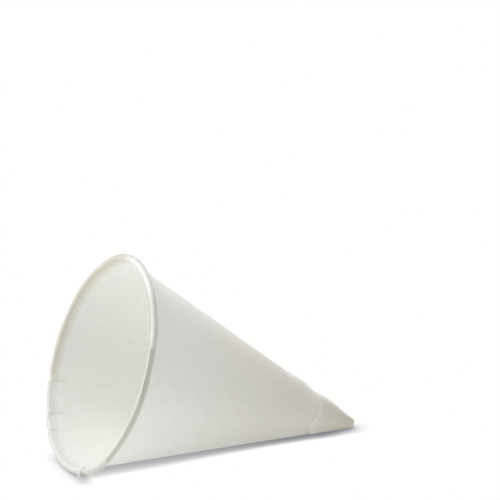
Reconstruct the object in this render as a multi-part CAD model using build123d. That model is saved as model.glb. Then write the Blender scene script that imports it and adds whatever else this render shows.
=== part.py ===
from build123d import *
from math import asin, atan, atan2, cos, degrees, hypot, pi, radians, sin, tan
import os

# Cone paper cup: one sheet of paper wound about a cone, glued to itself and rolled over at the rim.
# It lies on its side, on the rolled rim and the closed tip, with the doubled seam underneath.
# Millimetres and degrees throughout.

# Driving dimensions
rim_diameter = 73.0        # over the rolled rim
cup_length = 98.0          # closed tip to the crest of the rim
paper = 0.22               # one thickness of the sheet
roll_diameter = 2.1        # outside of the rolled rim
roll_turn = 290.0          # angle that the paper turns through in the roll
tip_radius = 1.4           # outside of the first turn of paper at the closed tip

# The sheet's edges. Angles run about the axis from the side of the cup, and downwards is at 270.
# Distances are along the wall from the cone's own point, which lies a little beyond the closed tip.
inner_edge_angle = 291.0   # the straight edge inside, where the sheet starts
overlap_angle = 48.0       # from there back to the outer edge, at the rim
outer_edge_closest = 22.0  # how near the outer edge passes to the cone's point
outer_edge_facing = 70.0   # the angle at which it does so
outer_edge_sweep = 70.0    # radius of the bend between its two straight runs, on the flat sheet
flap_closest = 17.3        # the same nearest distance for the lower edge of the end flap
flap_facing = -160.0       # and its angle
flap_end_angle = -229.0    # the end of the flap, which lies along the wall

ramp_angle = 6.0           # over which the paper comes down past the straight edge beneath it
step_depth = 0.14          # how far the paper stands back from the cone beside that edge, inside
bury = paper / 2           # how deep an added layer is let into the one beneath, to join it
skim = 0.05                # how far a cutting body stands clear of the face that it cuts
curtain = 4.0              # how far the cutting bodies reach either side of the wall
stations = 12              # steps along a cut edge of the sheet
roll_bands = 6             # flat bands around the hidden inside of the roll
rest_flat = 0.1            # how far the paper is pressed flat where the cup lies on it

# The wall's section, in a half plane: X is the distance from the axis, Z runs from tip to mouth
roll_radius = roll_diameter / 2
roll_centre = (rim_diameter / 2 - roll_radius, cup_length - roll_radius)
tip_centre = (0.0, tip_radius + paper)
rise = roll_centre[1] - tip_centre[1]
offset_of_centres = roll_radius - paper + tip_radius
half_angle = atan2(roll_centre[0], rise) - asin(offset_of_centres / hypot(roll_centre[0], rise))
normal = (cos(half_angle), -sin(half_angle))
cone_point = tip_centre[1] - tip_radius / sin(half_angle)


def wall_point(distance, height=0.0):
    """A point of the section, at a distance from the cone's point and a height over the first turn."""
    x = distance * sin(half_angle) + height * normal[0]
    z = cone_point + distance * cos(half_angle) + height * normal[1]
    return (x, z)


def rolled_end(low, high):
    """The rim end of a layer's section: the roll, round outside and in flat bands where it is hidden."""
    inner = roll_radius - paper - high
    outer = roll_radius - paper - low
    start = 180.0 - degrees(half_angle)
    turns = [radians(start - roll_turn * band / roll_bands) for band in range(roll_bands + 1)]
    inside = Polyline(*[Vector(*roll_centre) + Vector(inner * cos(turn), inner * sin(turn)) for turn in turns])
    outside = CenterArc(roll_centre, outer, start - roll_turn, roll_turn)
    return [inside, Line(inside @ 1, outside @ 0), outside]


def layer_section(low, high, reach=None):
    """The section of a layer between two heights over the first turn's outside.

    It runs from the closed tip to the rolled rim, or only to a distance from the cone's point.
    """
    below = -degrees(half_angle)
    outer_arc = CenterArc(tip_centre, tip_radius + high, -90.0, 90.0 + below)
    inner_arc = CenterArc(tip_centre, tip_radius + low, below, -90.0 - below)
    if reach is None:
        far_end = rolled_end(low, high)
    else:
        far_end = [Line(wall_point(reach, high), wall_point(reach, low))]
    edges = [
        outer_arc,
        Line(outer_arc @ 1, far_end[0] @ 0),
        *far_end,
        Line(far_end[-1] @ 1, inner_arc @ 0),
        inner_arc,
        Line(inner_arc @ 1, outer_arc @ 0),
    ]
    return Plane.XZ * make_face(edges)


def turned(section, start, extent):
    """A layer of paper: its section revolved from an angle about the axis, over an extent."""
    return revolve(section.rotate(Axis.Z, start), Axis.Z, extent)


def sheet_angle(angle):
    """An angle on the flat sheet, from the outer edge's nearest point, for an angle about the axis."""
    return radians(angle - outer_edge_facing) * sin(half_angle)


def axis_angle(on_sheet):
    """The angle about the axis for an angle on the flat sheet."""
    return outer_edge_facing + degrees(on_sheet / sin(half_angle))


def flap_edge(angle):
    """Distance from the cone's point to the flap's lower edge, a straight cut of the sheet."""
    return flap_closest / cos(sheet_angle(angle) - sheet_angle(flap_facing))


def outer_edge():
    """The outer edge of the sheet as (angle, distance) pairs, from the rim side down to the flap."""
    bend_end = sheet_angle(inner_edge_angle - overlap_angle)
    bend = pi / 2 - bend_end
    corner = outer_edge_closest * tan(bend_end)
    bend_start = corner - outer_edge_sweep * tan(bend / 2)
    points = []
    for step in range(stations + 1):
        along = bend * (1 - step / stations)
        x = outer_edge_closest + outer_edge_sweep * (1 - cos(along))
        y = bend_start + outer_edge_sweep * sin(along)
        points.append((axis_angle(atan2(y, x)), hypot(x, y)))
    facing = sheet_angle(flap_facing)
    ratio = flap_closest / outer_edge_closest
    corner_angle = atan((cos(facing) - ratio) / -sin(facing))
    first = atan2(bend_start, outer_edge_closest)
    for step in range(1, stations + 1):
        on_sheet = first + (corner_angle - first) * step / stations
        points.append((axis_angle(on_sheet), outer_edge_closest / cos(on_sheet)))
    return points


def curtain_at(angle, distance):
    """A flat region, in the half plane at an angle, of all the wall beyond a distance from the point."""
    far = rim_diameter / 2 + curtain
    top = cup_length + curtain
    x_in, z_in = wall_point(distance, -curtain / 2)
    x_out, z_out = wall_point(distance, curtain)
    x_top = wall_point(cup_length, -curtain / 2)[0] - curtain
    corners = [(x_in, z_in), (x_out, z_out), (far, z_out), (far, top), (x_top, top)]
    face = make_face(Polyline(*corners, close=True))
    return (Plane.XZ * face).rotate(Axis.Z, angle)


def beyond(edge):
    """The body that holds all the wall beyond an edge of the sheet, for cutting a layer to it."""
    return loft([curtain_at(angle, distance) for angle, distance in edge], ruled=True)


def flap_run(start, end):
    """The flap's lower edge as (angle, distance) pairs between two angles."""
    angles = [start + (end - start) * step / stations for step in range(stations + 1)]
    return [(angle, flap_edge(angle)) for angle in angles]


def wedge(near, far, low, high):
    """A long thin wedge along the wall, full height at the straight edge and down to nothing past it."""

    def spot(distance, height, angle):
        x, z = wall_point(distance, height)
        return Vector(x, 0, z).rotate(Axis.Z, inner_edge_angle + angle)

    def section(distance):
        corners = [spot(distance, low, 0), spot(distance, high, 0), spot(distance, low, ramp_angle)]
        return make_face(Polyline(*corners, close=True))

    return loft([section(near), section(far)], ruled=True)


def wound_cup():
    """The cup with its axis upright, the tip at the origin and the mouth up."""
    seam = inner_edge_angle - 360.0
    tip_end = tip_radius / tan(half_angle)
    wall_end = (roll_centre[0] - (roll_radius - paper) * normal[0]) / sin(half_angle)
    flap_crossing = flap_edge(seam)

    first_turn = turned(layer_section(-paper, 0.0), 0.0, 360.0)
    first_turn -= wedge(tip_end, wall_end, -paper - skim, step_depth - paper)

    edge = outer_edge()
    second_turn = turned(layer_section(-bury, paper), 0.0, 360.0)
    second_turn -= beyond(edge)
    second_turn -= beyond(flap_run(edge[-1][0], seam))
    second_turn += wedge(flap_crossing, wall_end, -bury, paper)

    flap_reach = max(flap_crossing, flap_edge(flap_end_angle)) + curtain
    flap_section = layer_section(paper - bury, 2 * paper, flap_reach)
    flap = turned(flap_section, flap_end_angle, seam - flap_end_angle)
    flap -= beyond(flap_run(seam, flap_end_angle))
    flap += wedge(tip_end, flap_crossing, paper - bury, 2 * paper)
    return first_turn + second_turn + flap


def lying(cup):
    """The cup laid down on its rolled rim and its tip, mouth towards -X, centred over the origin.

    Where it lies, the rim and the tip each have a small flat spot, so that it doesn't roll.
    """
    support = tip_radius + 2 * paper
    spread = hypot(roll_centre[0], rise)
    slope = atan2(roll_centre[0], rise) - asin((support - roll_radius) / spread)
    print("the axis rises towards the mouth by", round(degrees(slope), 2), "degrees")
    pose = Plane(origin=(0, 0, 0), x_dir=(0, -1, 0), z_dir=(-cos(slope), 0, sin(slope)))
    laid = pose.location * cup
    lowest = laid.bounding_box().min.Z
    laid = split(laid, Plane.XY.offset(lowest + rest_flat), keep=Keep.TOP)
    box = laid.bounding_box()
    return Pos(-box.center().X, -box.center().Y, -box.min.Z) * laid


def main():
    os.makedirs("parts", exist_ok=True)
    cup = lying(wound_cup())
    export_step(cup, "parts/paper_cone.step")


main()
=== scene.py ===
from math import asin, atan, atan2, cos, hypot, pi, radians, sin, sqrt, tan

import bpy
import numpy as np
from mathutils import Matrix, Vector


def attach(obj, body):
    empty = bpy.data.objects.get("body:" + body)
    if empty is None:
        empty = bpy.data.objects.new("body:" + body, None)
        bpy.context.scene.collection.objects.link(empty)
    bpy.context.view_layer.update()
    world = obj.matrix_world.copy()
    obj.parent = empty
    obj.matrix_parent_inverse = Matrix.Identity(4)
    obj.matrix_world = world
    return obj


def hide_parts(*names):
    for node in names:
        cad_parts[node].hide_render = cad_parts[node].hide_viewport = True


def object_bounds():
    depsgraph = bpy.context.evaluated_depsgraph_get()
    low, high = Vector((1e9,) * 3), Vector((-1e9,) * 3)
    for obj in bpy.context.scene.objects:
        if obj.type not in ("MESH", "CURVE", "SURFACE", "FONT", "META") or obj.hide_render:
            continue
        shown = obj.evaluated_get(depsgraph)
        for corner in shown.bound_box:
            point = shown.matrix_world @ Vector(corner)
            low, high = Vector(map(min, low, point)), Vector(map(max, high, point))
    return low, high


# A cone paper cup that lies on its rolled rim and its closed tip, on a white floor.
# Lengths are in millimetres and angles in degrees, up to the place where a mesh is made.
# An angle about the cup's axis starts at the side next to the camera; 90 is up and 270 is the floor.
# The wound sheet is followed by unwrapped angles, which go on past 360 and below 0.

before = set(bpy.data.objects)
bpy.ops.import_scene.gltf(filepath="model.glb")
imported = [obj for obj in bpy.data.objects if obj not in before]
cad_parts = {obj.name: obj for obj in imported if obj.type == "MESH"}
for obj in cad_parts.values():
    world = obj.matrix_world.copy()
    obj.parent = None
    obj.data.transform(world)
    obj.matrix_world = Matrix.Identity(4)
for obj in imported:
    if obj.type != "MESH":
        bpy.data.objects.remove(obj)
cad_low, cad_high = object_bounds()

MM = 0.001

# The cup's sizes, as it was built
rim_radius = (cad_high.y - cad_low.y) / 2 / MM
cup_length = 98.0
paper = 0.22
roll_radius = 1.05
tip_radius = 1.4
rest_flat = 0.1

# The sheet's edges, as it was cut and wound
inner_edge_angle = 291.0
overlap_angle = 48.0
outer_edge_closest = 22.0
outer_edge_facing = 70.0
outer_edge_sweep = 70.0
flap_closest = 17.3
flap_facing = -160.0
flap_end_angle = -229.0
ramp_angle = 6.0

# The turns that lie on each other
air = 0.03                 # between two turns
crushed_width = 0.55       # the sheet's outer edge is crushed down on the turn beneath it,
crushed_by = 0.8           # by this share of its thickness,
crushed_in = 0.01          # and pressed this deep into that turn
pinhole = 0.05             # the sheet starts this far from the tip's pole

# The rolled rim
roll_turn = 330.0          # angle that the paper turns through in the roll
roll_tuck = 0.30           # how far the roll's end lies inside a full circle
tuck_from = 180.0          # the angle of the roll at which that starts
roll_unevenness = 0.035
unevenness_run = 60.0      # degrees of the roll over which that sets in
rim_unevenness = 0.08      # of the crest, along the axis
bead_depth = 0.12          # the wall leans in a little just before it rolls over
bead_width = 1.0
pressed_by = 0.50          # a stretch of the roll is pressed flat on its outer side
corner_thickness = 1.0     # the sheet's corner stands off the roll as a small square tab
corner_width = 3.0         # degrees
corner_run = 0.5           # degrees over which the tab rises

# How far the rim stands off a circle: count of waves, height, phase in radians
rim_waves = ((2, 0.08, -0.1), (3, 0.24, 2.5), (5, 0.09, -0.6), (9, 0.03, 3.1))
wave_power = 1.2           # how fast that fades from the rim to the tip

# Bulges and dents of the rim from handling: angle, half of its width, height
rim_dents = (
    (2.0, 22.0, 0.35), (38.0, 30.0, 0.50), (62.0, 24.0, 0.30),
    (128.0, 50.0, -0.42), (221.0, 24.0, 0.25), (310.0, 18.0, 0.30),
)

# Creases across the rolled rim: angle, depth
rim_creases = (
    (25.0, 0.22), (101.0, 0.12), (131.0, 0.18), (205.5, 0.45),
    (224.5, 0.50), (236.5, 0.32), (316.5, 0.22),
)
crease_run = 8.0           # degrees over which the paper is drawn in before a crease
crease_step = 0.9          # and over which it comes out again
crease_reach = 7.0         # how far the creases run down the wall
crease_power = 1.5         # how fast they fade on the way
crease_sink = 0.35         # how far the crest is drawn down, as a share of a crease's depth

# The wall and the wound tip. A place is a distance along the wall from the cone's own point
wall_onset = 0.25          # the wall's marks set in over this share of it, from the tip
wall_ripple = 0.05
wall_fullness = 0.32       # the wall is fuller on top,
collar_fullness = 0.65     # and so is the cone before the outer turn's edge,
collar_place = 29.0
collar_width = 4.5
dip_depth = 0.20           # which is drawn in where the edge runs,
dip_place = outer_edge_closest - 0.8
dip_width = 1.8
tip_fullness = 0.55        # and the wound tip beyond it
tip_place = 14.5
tip_width = 5.0
tip_crumple = 0.07
ridge_angle = 84.0         # the tip is folded hard along its top
ridge_bumps = 0.09
bump_width = 13.0          # degrees either side of the ridge
fold_width = 24.0          # and for the painted highlight along it
fringe_width = 1.1         # a painted highlight runs along the sheet's outer edge
fringe_run = 0.5

# Stretches along the wall, as places: from, to, and the runs over which they set in and end
crumple_stretch = (3.0, 32.0, 4.0, 12.0)
ridge_stretch = (4.0, 42.0, 4.0, 10.0)

# Stretches round the roll in the same way, by the angle that the paper has turned through
outer_side_stretch = (88.0, 206.0, 26.0, 30.0)
corner_stretch = (105.0, 200.0, 14.0, 14.0)            # of the tab

# Stretches of the rim in the same way, by the angle about the cup's axis
pressed_stretch = (317.0, 385.0, 1.5, 1.5)             # where the roll is pressed flat
far_stretch = (90.0, 206.0, 20.0, 4.0)                 # the far side, seen from inside
under_stretch = (220.0, 320.0, 14.0, 14.0)
top_stretch = (50.0, 98.0, 10.0, 10.0)
beside_stretch = (10.0, 94.0, 12.0, 12.0)              # the side next to the camera, above the middle

# Painted shade, between 0 and 1, multiplied into the paper's colour
crest_painted_shade = 0.65         # painted shade on the roll's crest, which dims its highlight, with more or less of it on three stretches
crest_far = 0.35
crest_under = -0.15
crest_top = -0.45
crest_before = 0.4         # it starts this far before the roll
crest_run = 0.6
under_painted_shade = 0.6          # painted shade past the crest, where the rim is underneath
under_turn = 45.0          # from this angle of the roll, and in full from twice that
strip_painted_shade = 0.36         # painted shade on a strip of the wall beside the roll, inside and on the far side
strip_width = 2.6
# painted shade on the pressed stretch of the roll's outer side
pressed_painted_shade = 0.25
groove_painted_shade = 0.35        # painted shade in the groove beside the roll, outside,
groove_beside = 0.65       # and more of it on the stretch next to the camera
groove_width = 2.1
band_run = 0.5             # over which the strip and the groove set in
wound_painted_shade = 0.6          # painted shade, more and more towards the tip
wound_from = 95.0
wound_run = 70.0
tip_painted_shade = 0.4            # and more painted shade on the wound tip
tip_run = 14.0

# How yellow, and how much painted highlight
pressed_yellow = 0.6
wound_yellow = 0.45
tip_yellow = 0.5
# painted highlights along the sheet's outer edge and on the tip's top
fringe_painted_highlight = 0.55
fold_painted_highlight = 0.6

# Paper colours
paper_white = (0.85, 0.85, 0.82)
paper_cloud = (0.825, 0.825, 0.79)
paper_warm = (0.84, 0.83, 0.79)
paper_fibre = (0.88, 0.88, 0.85)
# the painted highlights' colour
painted_highlight_colour = (0.94, 0.94, 0.91)
# the first of these is the painted shade's tone
painted_shade_tone = (0.70, 0.695, 0.675)     # these two are multiplied into the others
paper_yellow = (0.995, 0.975, 0.89)

# The paper's grain, with its scales per metre of the sheet
cloud_scale = 420.0
patch_scale = 60.0
fibre_scale = 1500.0
fibre_stretch = (0.16, 1.0, 1.0)
fibre_turns = (12.0, 74.0, 133.0)
fibre_height = 0.02
fibre_strength = 0.5
grain_roughness = 0.55
paper_specular = 0.25
paper_roughness = (0.80, 0.92)
faces_apart = 40.0         # between the grain of the sheet's two faces

# The light table: its own colour and glow, and the shade beside what rests on it
floor_half = 3.0           # metres
table_colour = (0.7, 0.7, 0.7, 1.0)
table_glow = 0.427
contact_colour = (0.11, 0.124, 0.146)
contact_tilt = (-0.35, 0.42, 0.84)
contact_samples = 16

# How near the cup has to be above the floor to shade it: place along the cup, reach
contact_reach = (
    (-52.0, 3.8), (-38.0, 3.5), (-20.0, 3.2), (7.0, 2.6), (28.0, 2.8), (40.0, 3.7), (52.0, 5.8),
)

# Lamps: name, bearing from the camera's side with the right at 90, elevation, width and height in
# metres, power, colour
lamps = (
    ("top", 0.0, 90.0, 0.7, 0.7, 3.6, (1.0, 1.0, 1.0)),
    ("left_high", 270.0, 50.0, 1.2, 0.7, 9.95, (1.0, 1.0, 1.0)),
    ("left_low", 300.0, 14.0, 0.7, 0.5, 5.6, (1.0, 1.0, 1.0)),
    ("right_low", 90.0, 14.0, 1.2, 0.5, 6.7, (1.0, 0.985, 0.955)),
    ("back_low", 165.0, 16.0, 1.2, 0.4, 8.1, (1.0, 0.99, 0.97)),
)
lamp_aim = 0.03            # height in metres of the point that they are turned to
lamp_distance = 1.2        # and how far they are from it

# Camera: it looks down at the mouth's side from the front left
camera_place = (-0.3696, -0.8573, 0.3349)
camera_azimuth = -24.09
camera_elevation = 15.95
camera_lens = 215.2
camera_sensor = 36.0
camera_clip = (0.05, 50.0)

# Mesh density
cap_rows = 7
inner_rows = 24            # on the wall, up to where the outer edge leaves the straight
edge_rows = 4              # on the crushed edge
outer_rows = 16            # from there to the roll
roll_rows = 30
column_step = 1.25         # degrees
crease_columns = (-0.5, 0.0, 0.25, 0.45, 0.65, 0.9, 1.3)     # these are added at each crease,
crease_middle = 0.4        # and the even ones are left out near here,
crease_clear = 1.3         # this far either side
sharp_from = 45.0

# Sockets of a colour mix node
mix_factor = 0
mix_first = 6
mix_second = 7
mix_result = 2

# The wall's section: X is the distance from the axis, Z runs from tip to mouth
roll_centre = np.array((rim_radius - roll_radius, cup_length - roll_radius))
tip_centre = np.array((0.0, tip_radius + paper))
between = roll_centre - tip_centre
span = hypot(*between)
half_angle = atan2(between[0], between[1]) - asin((roll_radius - paper + tip_radius) / span)
along = np.array((sin(half_angle), cos(half_angle)))
normal = np.array((cos(half_angle), -sin(half_angle)))
cap_length = tip_radius * (pi / 2 - half_angle)
wall_length = sqrt(span ** 2 - (roll_radius - paper + tip_radius) ** 2)
wall_start = tip_radius / tan(half_angle)
wall_end = cap_length + wall_length


def smooth(x):
    """0 below 0, 1 above 1, and a smooth step between."""
    x = np.clip(x, 0.0, 1.0)
    return x * x * (3.0 - 2.0 * x)


def rises(x, start, run):
    """0 up to the start, and 1 from a run after it."""
    return smooth((x - start) / run)


def falls(x, end, run):
    """1 up to a run before the end, and 0 from the end on."""
    return smooth((end - x) / run)


def window(x, start, end, run_in, run_out):
    """1 between a start and an end, apart from the runs next to them, and 0 outside."""
    return rises(x, start, run_in) * falls(x, end, run_out)


def bell(x, centre, width):
    """1 at the centre, and smoothly down to nothing either side."""
    return np.exp(-((x - centre) / width) ** 2)


def around(angle, centre):
    """The angle from a centre, between -180 and 180."""
    return (angle - centre + 180.0) % 360.0 - 180.0


def on_stretch(angle, start, end, run_in, run_out):
    """A window between two angles about the cup's axis, on every turn."""
    half = (end - start) / 2
    return window(around(angle, start + half), -half, half, run_in, run_out)


def slant(distance):
    """Length along the section from the tip's pole, for a distance from the cone's own point."""
    return distance - wall_start + cap_length


def from_point(s):
    """Distance from the cone's own point, for a length along the section."""
    return s - cap_length + wall_start


def roll_angle(s):
    """Degrees that the paper has turned through in the roll, at a length s along the section."""
    return np.degrees(np.maximum(0.0, (s - wall_end) / (roll_radius - paper)))


def outer_side(s):
    """1 on the roll's outer side, and down to nothing at its crest and underneath."""
    return window(roll_angle(s), *outer_side_stretch)


def section(s, height, swell, press):
    """Points of the section at lengths s along it, raised by height over the first turn's outside.

    The roll is larger by swell, and pressed in by press on its outer side.
    """
    turn = s / tip_radius - pi / 2
    cap_x = (tip_radius + height) * np.cos(turn)
    cap_z = tip_centre[1] + (tip_radius + height) * np.sin(turn)

    run = s - cap_length
    wall_x = tip_radius * normal[0] + run * along[0] + height * normal[0]
    wall_z = tip_centre[1] + tip_radius * normal[1] + run * along[1] + height * normal[1]

    rolled = roll_angle(s)
    tuck = roll_tuck * rises(rolled, tuck_from, roll_turn - tuck_from)
    swollen = swell * rises(rolled, 0.0, unevenness_run)
    radius = roll_radius - paper - height - tuck + swollen - press * outer_side(s)
    at = pi - half_angle - np.radians(rolled)
    roll_x = roll_centre[0] + radius * np.cos(at)
    roll_z = roll_centre[1] + radius * np.sin(at)

    on_cap = s < cap_length
    on_wall = run < wall_length
    x = np.where(on_cap, cap_x, np.where(on_wall, wall_x, roll_x))
    z = np.where(on_cap, cap_z, np.where(on_wall, wall_z, roll_z))
    return x, z


def sheet_angle(angle):
    """Radians on the flat sheet, from the outer edge's nearest point."""
    return np.radians(angle - outer_edge_facing) * sin(half_angle)


def axis_angle(on_sheet):
    """The angle about the axis for radians on the flat sheet."""
    return outer_edge_facing + np.degrees(on_sheet) / sin(half_angle)


# The outer edge on the flat sheet: a straight run down from the rim, a bend, and a straight run past
# the cone's point, to the corner where the end flap's lower edge begins
rim_turn = inner_edge_angle - overlap_angle
sheet_end = inner_edge_angle + 360.0
seam = inner_edge_angle - 360.0
bend_end = sheet_angle(rim_turn)
bend = pi / 2 - bend_end
bend_centre = np.array((
    outer_edge_closest + outer_edge_sweep,
    outer_edge_closest * tan(bend_end) - outer_edge_sweep * tan(bend / 2),
))
bend_start = atan2(bend_centre[1], outer_edge_closest)
bend_end_distance = outer_edge_closest / cos(bend_end) + outer_edge_sweep * tan(bend / 2)
facing = sheet_angle(flap_facing)
corner_angle = axis_angle(atan((cos(facing) - flap_closest / outer_edge_closest) / -sin(facing)))
followed = 1.4             # radians that a straight cut is followed for, from its nearest point


def edge_distance(angle):
    """Distance from the cone's point to the sheet's free edge, for unwrapped angles short of the rim."""
    on_sheet = sheet_angle(angle)
    straight = outer_edge_closest / np.cos(np.clip(on_sheet, -followed, bend_start))
    inward = bend_centre[0] * np.cos(on_sheet) + bend_centre[1] * np.sin(on_sheet)
    under = inward ** 2 - bend_centre @ bend_centre + outer_edge_sweep ** 2
    bent = inward - np.sqrt(np.maximum(under, 0.0))
    flap = flap_closest / np.cos(np.minimum(on_sheet - facing, followed))
    return np.minimum(np.where(on_sheet > bend_start, bent, straight), flap)


def turn_height(angle):
    """Height of the sheet's outside over the first turn's, for unwrapped angles."""
    second = falls(angle, inner_edge_angle + ramp_angle, ramp_angle)
    third = falls(angle, seam + ramp_angle, ramp_angle)
    return (second + third) * (paper + air)


# Place: the cup lies on the roll and on the third turn about the tip
support = tip_radius + 2 * paper
lean = asin((support - roll_radius) / hypot(roll_centre[0], between[1]))
slope = atan2(roll_centre[0], between[1]) - lean
axis = np.array((-cos(slope), 0.0, sin(slope)))
side = np.array((0.0, -1.0, 0.0))
up = np.array((sin(slope), 0.0, cos(slope)))
origin = np.array((
    cad_low.x / MM + roll_centre[1] * cos(slope) + roll_centre[0] * sin(slope) + roll_radius,
    0.0,
    support - rest_flat - tip_centre[1] * sin(slope),
))


def placed(x, z, angle):
    """World points, in millimetres, of section points turned by an angle about the cup's axis."""
    t = np.radians(angle)
    points = (
        origin
        + (x * np.cos(t))[..., None] * side
        + (x * np.sin(t))[..., None] * up
        + z[..., None] * axis
    )
    points[..., 2] = np.maximum(points[..., 2], 0.0)
    return points


def creased(angle):
    """How deep the rim's creases are at an angle: the paper is drawn in slowly and steps out again."""
    depth = np.zeros_like(angle)
    for centre, height in rim_creases:
        depth += height * window(around(angle, centre), -crease_run, crease_step, crease_run, crease_step)
    return depth


def near_rim(s):
    """1 at the roll, and down to nothing where the rim's creases end on the wall."""
    return rises(s, wall_end - crease_reach, crease_reach)


def uneven(angle, distance):
    """An irregular pattern along the wall, between about -1 and 1. Its numbers follow no rule."""
    turned = np.radians(angle)
    slow = np.sin(0.83 * distance + 1.7 * np.sin(0.31 * distance + 2.0 * np.sin(turned)) + 0.4)
    quick = np.sin(1.9 * distance + 2.3 * np.sin(0.57 * distance + 1.0) + 3.0 * np.sin(turned))
    return 0.6 * slow + 0.4 * quick


def ridge(angle, distance, width):
    """1 along the top of the tip, where the paper is folded hard, and 0 elsewhere."""
    return bell(around(angle, ridge_angle), 0.0, width) * window(distance, *ridge_stretch)


def crushed(angle, s):
    """1 at the sheet's outer edge, down to 0 a little way in from it."""
    to_edge = slant(edge_distance(angle)) - s
    return falls(to_edge, crushed_width, crushed_width) * (angle < rim_turn)


def out_of_round(angle, s):
    """How far the sheet stands off the true cone: handling, the rim's creases and the crumpled tip."""
    t = np.radians(angle)
    distance = from_point(s)
    reach = np.clip((s - cap_length) / wall_length, 0.0, 1.0)
    on_wall = rises(reach, 0.0, wall_onset)
    above = 0.5 + 0.5 * np.sin(t)

    waves = sum(height * np.sin(count * t + phase) for count, height, phase in rim_waves)
    for centre, half_width, height in rim_dents:
        off = np.clip(around(angle, centre) / half_width, -1.0, 1.0)
        waves = waves + height * np.cos(pi / 2 * off) ** 2
    offset = waves * reach ** wave_power
    offset -= bead_depth * bell(s, wall_end, bead_width)
    offset -= creased(angle) * near_rim(s) ** crease_power

    offset += wall_ripple * np.sin(4 * t + 5.0 * reach + 0.8) * on_wall * (1.0 - 0.5 * reach)
    offset += wall_fullness * above * on_wall * (1.0 - reach ** 4)
    offset += collar_fullness * above ** 2 * bell(distance, collar_place, collar_width)
    offset -= dip_depth * above * bell(distance, dip_place, dip_width)
    offset += tip_fullness * above * bell(distance, tip_place, tip_width)

    offset += ridge_bumps * ridge(angle, distance, bump_width) * uneven(angle, distance)
    crumple = np.sin(7 * t + 0.9 * distance) * np.sin(1.3 * distance + 2.0 * np.sin(3 * t))
    return offset + tip_crumple * window(distance, *crumple_stretch) * crumple


def face_points(angle, s, low):
    """World points of the sheet's outside, or of its inside where low is true.

    The rim is rolled outwards, so the sheet's inside is what shows on the roll.
    """
    t = np.radians(angle)
    at_edge = crushed(angle, s)
    down = paper if low else crushed_by * paper * at_edge
    height = turn_height(angle) - down - (air + crushed_in) * at_edge
    swell = roll_unevenness * np.sin(11 * t + 2.0 * np.sin(3 * t))
    if low:
        tab = window(roll_angle(s), *corner_stretch)
        swell = swell + corner_thickness * tab * rises(angle, sheet_end - corner_width, corner_run)
    dimples = 1.0 + 0.12 * np.sin(17 * t) + 0.08 * np.sin(29 * t + 1.0)
    press = pressed_by * on_stretch(angle, *pressed_stretch) * dimples

    x, z = section(s, height, swell, press)
    x = x + out_of_round(angle, s)
    z = z + rim_unevenness * near_rim(s) * (np.sin(3 * t + 1.0) + 0.6 * np.sin(8 * t))
    z = z - crease_sink * near_rim(s) * creased(angle)
    return placed(x, z, angle)


def mottled(angle, distance):
    """A share between 0.6 and 1 that changes irregularly."""
    return 0.8 + 0.2 * uneven(angle, distance)


def inside_tones(angle, s):
    """Painted shade, yellowness and painted highlight of the sheet's inside, which shows on the roll as
    well.
    """
    far_side = on_stretch(angle, *far_stretch)
    under = on_stretch(angle, *under_stretch)
    on_top = on_stretch(angle, *top_stretch)
    crest = rises(s, wall_end - crest_before, crest_run)
    strip = rises(s, wall_end - strip_width, band_run) * far_side
    pressed = on_stretch(angle, *pressed_stretch) * outer_side(s)

    # painted shade on the roll's crest, under the rim, on the strip beside the roll and on the pressed
    # stretch
    painted_shade = crest * (crest_painted_shade + crest_far * far_side + crest_under * under + crest_top * on_top)
    painted_shade = painted_shade + under_painted_shade * under * rises(roll_angle(s), under_turn, under_turn)
    painted_shade = np.maximum(painted_shade, strip_painted_shade * strip) + pressed_painted_shade * pressed
    yellow = strip + pressed_yellow * pressed
    return np.clip(painted_shade, 0.0, 1.0), np.clip(yellow, 0.0, 1.0), np.zeros_like(s)


def outside_tones(angle, s):
    """The same for the sheet's outside."""
    distance = from_point(s)
    wound = np.clip((wound_from - distance) / wound_run, 0.0, 1.0)
    tip = falls(distance, outer_edge_closest, tip_run)
    beside = on_stretch(angle, *beside_stretch)
    groove = rises(s, wall_end - groove_width, band_run) * (groove_painted_shade + groove_beside * beside)
    to_edge = slant(edge_distance(angle)) - s
    fringe = falls(to_edge, fringe_width, fringe_run) * (angle < rim_turn)

    # painted shade in the groove beside the roll and more and more towards the tip
    painted_shade = groove + wound_painted_shade * wound + tip_painted_shade * tip
    yellow = wound_yellow * wound + tip_yellow * tip
    # painted highlights along the outer edge and along the tip's top
    painted_highlight = fringe_painted_highlight * fringe * mottled(3.0 * angle, distance)
    painted_highlight += fold_painted_highlight * ridge(angle, distance, fold_width) * mottled(2.0 * angle, distance)
    return np.clip(painted_shade, 0.0, 1.0), yellow, np.clip(painted_highlight, 0.0, 1.0)


def sheet_places(angle, s, low):
    """Places on the flat sheet, in metres, with the two faces apart."""
    distance = from_point(s)
    turned = sheet_angle(angle)
    level = np.full_like(s, faces_apart * low)
    return np.stack([distance * np.cos(turned), distance * np.sin(turned), level], axis=-1) * MM


def steps(*stops):
    """Angles that run through the stops with about even steps between."""
    values = [stops[0]]
    for start, end in zip(stops, stops[1:]):
        count = max(1, round(abs(end - start) / column_step))
        values += [start + (end - start) * k / count for k in range(1, count + 1)]
    return np.array(values)


def long_columns():
    """Angles of the columns that run up to the roll, with more of them at the rim's creases."""
    angles = steps(rim_turn, inner_edge_angle, inner_edge_angle + ramp_angle, sheet_end)
    for centre, _ in rim_creases:
        crease = rim_turn + (centre - rim_turn) % 360.0
        kept = angles[abs(angles - crease - crease_middle) > crease_clear]
        angles = np.sort(np.concatenate([kept, crease + np.array(crease_columns)]))
    return angles


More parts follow.
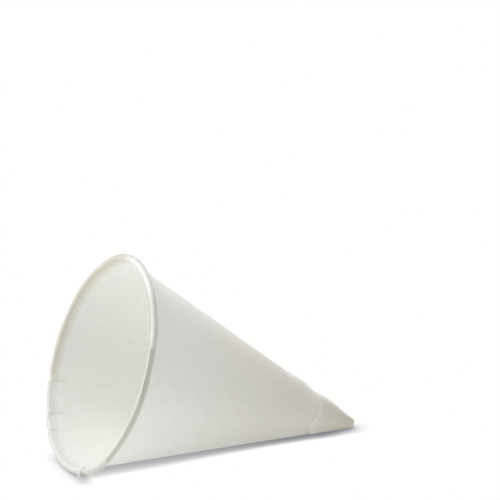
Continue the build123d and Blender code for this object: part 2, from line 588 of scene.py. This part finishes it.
def rows_to(edge):
    """Rows from the pinhole to the edge, as lengths along the section, for each column's own edge."""
    cap = np.linspace(pinhole, cap_length, cap_rows + 1)
    inner = np.linspace(0.0, 1.0, inner_rows + 1)[1:]
    brim = np.linspace(-crushed_width, 0.0, edge_rows + 1)[1:]
    return np.concatenate([
        np.tile(cap, (len(edge), 1)),
        cap_length + inner * (edge[:, None] - crushed_width - cap_length),
        edge[:, None] + brim,
    ], axis=1)


def rows_beyond(edge):
    """Rows from there to the roll and round it."""
    outer = np.linspace(0.0, 1.0, outer_rows + 1)[1:]
    rolled = np.linspace(0.0, 1.0, roll_rows + 1)[1:]
    roll_length = radians(roll_turn) * (roll_radius - paper)
    return np.concatenate([
        edge[:, None] + outer * (wall_end - edge[:, None]),
        np.tile(wall_end + rolled * roll_length, (len(edge), 1)),
    ], axis=1)


def grid_quads(index, flip):
    """Quads of a grid of vertex numbers."""
    a, b = index[:-1, :-1].ravel(), index[1:, :-1].ravel()
    c, d = index[1:, 1:].ravel(), index[:-1, 1:].ravel()
    quads = np.stack([d, c, b, a] if flip else [a, b, c, d], axis=1)
    return quads.tolist()


def strip_quads(first, second):
    """Quads between two rows of vertex numbers."""
    return [list(quad) for quad in zip(first[:-1], first[1:], second[1:], second[:-1])]


def wound_sheet():
    """The whole sheet as one closed mesh: both faces and every cut edge."""
    long_angles = long_columns()
    short_angles = steps(
        flap_end_angle, seam, seam + ramp_angle, corner_angle, axis_angle(bend_start), rim_turn,
    )
    long_edge = np.full(len(long_angles), slant(bend_end_distance))
    short_edge = slant(edge_distance(short_angles[:-1]))
    long_s = np.concatenate([rows_to(long_edge), rows_beyond(long_edge)], axis=1)
    short_s = rows_to(short_edge)
    long_a = np.repeat(long_angles[:, None], long_s.shape[1], axis=1)
    short_a = np.repeat(short_angles[:-1, None], short_s.shape[1], axis=1)

    points, toned, places, quads = [], [], [], []
    faces = {}
    total = 0
    for low in (False, True):
        tones = inside_tones if low else outside_tones
        numbers = []
        for angle, s in ((long_a, long_s), (short_a, short_s)):
            points.append(face_points(angle, s, low).reshape(-1, 3))
            toned.append(np.stack(tones(angle, s), axis=-1).reshape(-1, 3))
            places.append(sheet_places(angle, s, low).reshape(-1, 3))
            numbers.append(total + np.arange(s.size).reshape(s.shape))
            total += s.size
        long_numbers, short_numbers = numbers
        # The short columns end in the first long one
        joined = np.concatenate([short_numbers, long_numbers[:1, :short_s.shape[1]]], axis=0)
        quads += grid_quads(long_numbers, low) + grid_quads(joined, low)
        faces[low] = (long_numbers, joined)

    out_long, out_short = faces[False]
    in_long, in_short = faces[True]
    last = out_short.shape[1] - 1
    for first, second in (
        (out_long[:, -1], in_long[:, -1]),              # the end of the roll
        (in_long[-1], out_long[-1]),                    # the straight edge inside
        (out_long[0, last:], in_long[0, last:]),        # the outer edge, where it is straight
        (in_long[:, 0], out_long[:, 0]),                # round the pinhole
        (in_short[:, 0], out_short[:, 0]),
        (out_short[:, last], in_short[:, last]),        # the outer edge's bend, and the flap's lower edge
        (out_short[0], in_short[0]),                    # the end of the flap
    ):
        quads += strip_quads(first, second)

    mesh = bpy.data.meshes.new("paper_cup")
    mesh.from_pydata((np.concatenate(points) * MM).tolist(), [], quads)
    # painted shade, yellowness and painted highlight, kept on the mesh
    for name, values in zip(("painted_shade", "yellow", "painted_highlight"), np.concatenate(toned).T):
        attribute = mesh.attributes.new(name, "FLOAT", "POINT")
        attribute.data.foreach_set("value", np.ascontiguousarray(values))
    on_sheet = mesh.attributes.new("flat_sheet", "FLOAT_VECTOR", "POINT")
    on_sheet.data.foreach_set("vector", np.concatenate(places).ravel())
    mesh.update()
    mesh.validate()
    return mesh


def cup_piece():
    """The cup's visible piece, shaded smooth up to the sheet's cut edges."""
    mesh = wound_sheet()
    cup = bpy.data.objects.new("paper_cup", mesh)
    bpy.context.scene.collection.objects.link(cup)
    mesh.polygons.foreach_set("use_smooth", [True] * len(mesh.polygons))
    mesh.set_sharp_from_angle(angle=radians(sharp_from))
    return cup


def node_material(name):
    """A new material with its nodes cleared: the tree, its output and a function that adds a node."""
    material = bpy.data.materials.new(name)
    material.use_nodes = True
    tree = material.node_tree
    tree.nodes.clear()

    def add(kind, **inputs):
        node = tree.nodes.new(kind)
        for key, value in inputs.items():
            node.inputs[key.replace("_", " ")].default_value = value
        return node

    return material, tree, add("ShaderNodeOutputMaterial"), add


def mixed(tree, factor, first, second, mode="MIX"):
    """Two colours mixed by a factor. Each of the three is a value or another node's output."""
    node = tree.nodes.new("ShaderNodeMix")
    node.data_type = "RGBA"
    node.blend_type = mode
    for socket, value in ((mix_factor, factor), (mix_first, first), (mix_second, second)):
        if isinstance(value, tuple):
            node.inputs[socket].default_value = (*value, 1.0)
        elif isinstance(value, float):
            node.inputs[socket].default_value = value
        else:
            tree.links.new(value, node.inputs[socket])
    return node.outputs[mix_result]


def paper_material():
    """Uncoated white paper: cloudy, with fine fibres, darkened by painted shade, lightened by painted
    highlights and yellowed in places.
    """
    material, tree, out, add = node_material("white_paper")
    link = tree.links.new

    def attribute(name, output):
        node = add("ShaderNodeAttribute")
        node.attribute_name = name
        return node.outputs[output]

    sheet = attribute("flat_sheet", "Vector")

    def noise(scale, detail, stretch=(1.0, 1.0, 1.0), turn=0.0):
        place = add("ShaderNodeMapping", Rotation=(0.0, 0.0, radians(turn)), Scale=stretch)
        pattern = add("ShaderNodeTexNoise", Scale=scale, Detail=detail, Roughness=grain_roughness)
        link(sheet, place.inputs["Vector"])
        link(place.outputs["Vector"], pattern.inputs["Vector"])
        return pattern.outputs["Fac"]

    def spread(value, low, high, to_low, to_high):
        node = add("ShaderNodeMapRange", From_Min=low, From_Max=high, To_Min=to_low, To_Max=to_high)
        link(value, node.inputs["Value"])
        return node.outputs["Result"]

    def toned(name, colour, tone):
        """The colour multiplied by a tone as far as an attribute says."""
        return mixed(tree, attribute(name, "Fac"), colour, mixed(tree, 1.0, colour, tone, "MULTIPLY"))

    clouds = noise(cloud_scale, 3.0)
    patches = noise(patch_scale, 2.0)
    fibres = [noise(fibre_scale, 2.0, fibre_stretch, turn) for turn in fibre_turns]

    colour = mixed(tree, spread(clouds, 0.35, 0.65, 0.0, 1.0), paper_cloud, paper_white)
    colour = mixed(tree, spread(patches, 0.4, 0.7, 0.0, 0.35), colour, paper_warm)
    colour = mixed(tree, spread(fibres[0], 0.62, 0.8, 0.0, 0.25), colour, paper_fibre)
    # painted shade multiplied in
    colour = toned("painted_shade", colour, painted_shade_tone)
    colour = toned("yellow", colour, paper_yellow)
    # painted highlights mixed in
    colour = mixed(tree, attribute("painted_highlight", "Fac"), colour, painted_highlight_colour)

    heights = fibres[0]
    for fibre in fibres[1:]:
        top = add("ShaderNodeMath")
        top.operation = "MAXIMUM"
        link(heights, top.inputs[0])
        link(fibre, top.inputs[1])
        heights = top.outputs[0]
    bump = add("ShaderNodeBump", Strength=fibre_strength, Distance=fibre_height * MM)
    link(heights, bump.inputs["Height"])

    shader = add("ShaderNodeBsdfPrincipled", Specular_IOR_Level=paper_specular)
    link(colour, shader.inputs["Base Color"])
    link(spread(clouds, 0.3, 0.7, *paper_roughness), shader.inputs["Roughness"])
    link(bump.outputs["Normal"], shader.inputs["Normal"])
    link(shader.outputs["BSDF"], out.inputs["Surface"])
    return material


def floor_shade(tree, add):
    """White, and darker where the cup is close above the floor, by a reach that changes along the cup."""
    link = tree.links.new
    start, end = contact_reach[0][0], contact_reach[-1][0]
    longest = max(reach for _, reach in contact_reach)
    place = add("ShaderNodeTexCoord")
    along_cup = add("ShaderNodeSeparateXYZ")
    share = add("ShaderNodeMapRange", From_Min=start * MM, From_Max=end * MM)
    reaches = add("ShaderNodeFloatCurve")
    curve = reaches.mapping.curves[0]
    for stop, reach in contact_reach[1:-1]:
        curve.points.new((stop - start) / (end - start), reach / longest)
    curve.points[0].location = (0.0, contact_reach[0][1] / longest)
    curve.points[-1].location = (1.0, contact_reach[-1][1] / longest)
    reaches.mapping.update()
    metres = add("ShaderNodeMapRange", To_Max=longest * MM)
    tilt = add("ShaderNodeCombineXYZ", X=contact_tilt[0], Y=contact_tilt[1], Z=contact_tilt[2])
    near = add("ShaderNodeAmbientOcclusion")
    near.samples = contact_samples
    link(place.outputs["Object"], along_cup.inputs[0])
    link(along_cup.outputs["X"], share.inputs["Value"])
    link(share.outputs["Result"], reaches.inputs["Value"])
    link(reaches.outputs["Value"], metres.inputs["Value"])
    link(metres.outputs["Result"], near.inputs["Distance"])
    link(tilt.outputs[0], near.inputs["Normal"])
    return mixed(tree, near.outputs["AO"], contact_colour, (1.0, 1.0, 1.0))


def floor_material():
    """A white light table. The camera sees it white up to the shade beside what rests on it."""
    material, tree, out, add = node_material("floor")
    link = tree.links.new
    lit = add("ShaderNodeBsdfDiffuse", Color=table_colour)
    glow = add("ShaderNodeEmission", Strength=table_glow)
    table = add("ShaderNodeAddShader")
    link(lit.outputs[0], table.inputs[0])
    link(glow.outputs[0], table.inputs[1])

    seen = add("ShaderNodeEmission", Strength=1.0)
    link(floor_shade(tree, add), seen.inputs["Color"])
    path = add("ShaderNodeLightPath")
    mix = add("ShaderNodeMixShader")
    link(path.outputs["Is Camera Ray"], mix.inputs[0])
    link(table.outputs[0], mix.inputs[1])
    link(seen.outputs[0], mix.inputs[2])
    link(mix.outputs[0], out.inputs["Surface"])
    return material


def make_floor():
    """The floor that the cup lies on, as a stage piece."""
    mesh = bpy.data.meshes.new("floor")
    corners = [(x * floor_half, y * floor_half, 0) for x, y in ((-1, -1), (1, -1), (1, 1), (-1, 1))]
    mesh.from_pydata(corners, [], [(0, 1, 2, 3)])
    floor = bpy.data.objects.new("floor", mesh)
    bpy.context.scene.collection.objects.link(floor)
    mesh.materials.append(floor_material())


def make_world():
    """White where the camera sees past the floor, and dark to everything else."""
    world = bpy.data.worlds.new("studio")
    bpy.context.scene.world = world
    world.use_nodes = True
    tree = world.node_tree
    tree.nodes.clear()
    out = tree.nodes.new("ShaderNodeOutputWorld")
    seen = tree.nodes.new("ShaderNodeBackground")
    path = tree.nodes.new("ShaderNodeLightPath")
    tree.links.new(path.outputs["Is Camera Ray"], seen.inputs["Strength"])
    tree.links.new(seen.outputs[0], out.inputs["Surface"])
    seen.inputs["Color"].default_value = (1.0, 1.0, 1.0, 1.0)


def soft_light(name, bearing, elevation, width, height, power, colour):
    """A softbox aimed at the cup."""
    lamp = bpy.data.lights.new(name, "AREA")
    lamp.shape = "RECTANGLE"
    lamp.size = width
    lamp.size_y = height
    lamp.energy = power
    lamp.color = colour
    holder = bpy.data.objects.new(name, lamp)
    bpy.context.scene.collection.objects.link(holder)
    b, e = radians(bearing + camera_azimuth), radians(elevation)
    aim = Vector((0.0, 0.0, lamp_aim))
    holder.location = aim + lamp_distance * Vector((sin(b) * cos(e), -cos(b) * cos(e), sin(e)))
    holder.rotation_mode = "QUATERNION"
    holder.rotation_quaternion = (aim - holder.location).to_track_quat("-Z", "Y")


def make_camera():
    """The camera, aimed by its azimuth and its elevation."""
    data = bpy.data.cameras.new("camera")
    data.lens = camera_lens
    data.sensor_width = camera_sensor
    data.clip_start, data.clip_end = camera_clip
    camera = bpy.data.objects.new("camera", data)
    bpy.context.scene.collection.objects.link(camera)
    a, e = radians(camera_azimuth), radians(camera_elevation)
    look = Vector((-sin(a) * cos(e), cos(a) * cos(e), -sin(e)))
    camera.location = camera_place
    camera.rotation_mode = "QUATERNION"
    camera.rotation_quaternion = look.to_track_quat("-Z", "Y")
    bpy.context.scene.camera = camera


make_camera()
make_world()
make_floor()
for lamp in lamps:
    soft_light(*lamp)
bpy.context.scene.view_settings.view_transform = "Standard"

cup = cup_piece()
cup.data.materials.append(paper_material())
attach(cup, "root")
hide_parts("paper_cone")
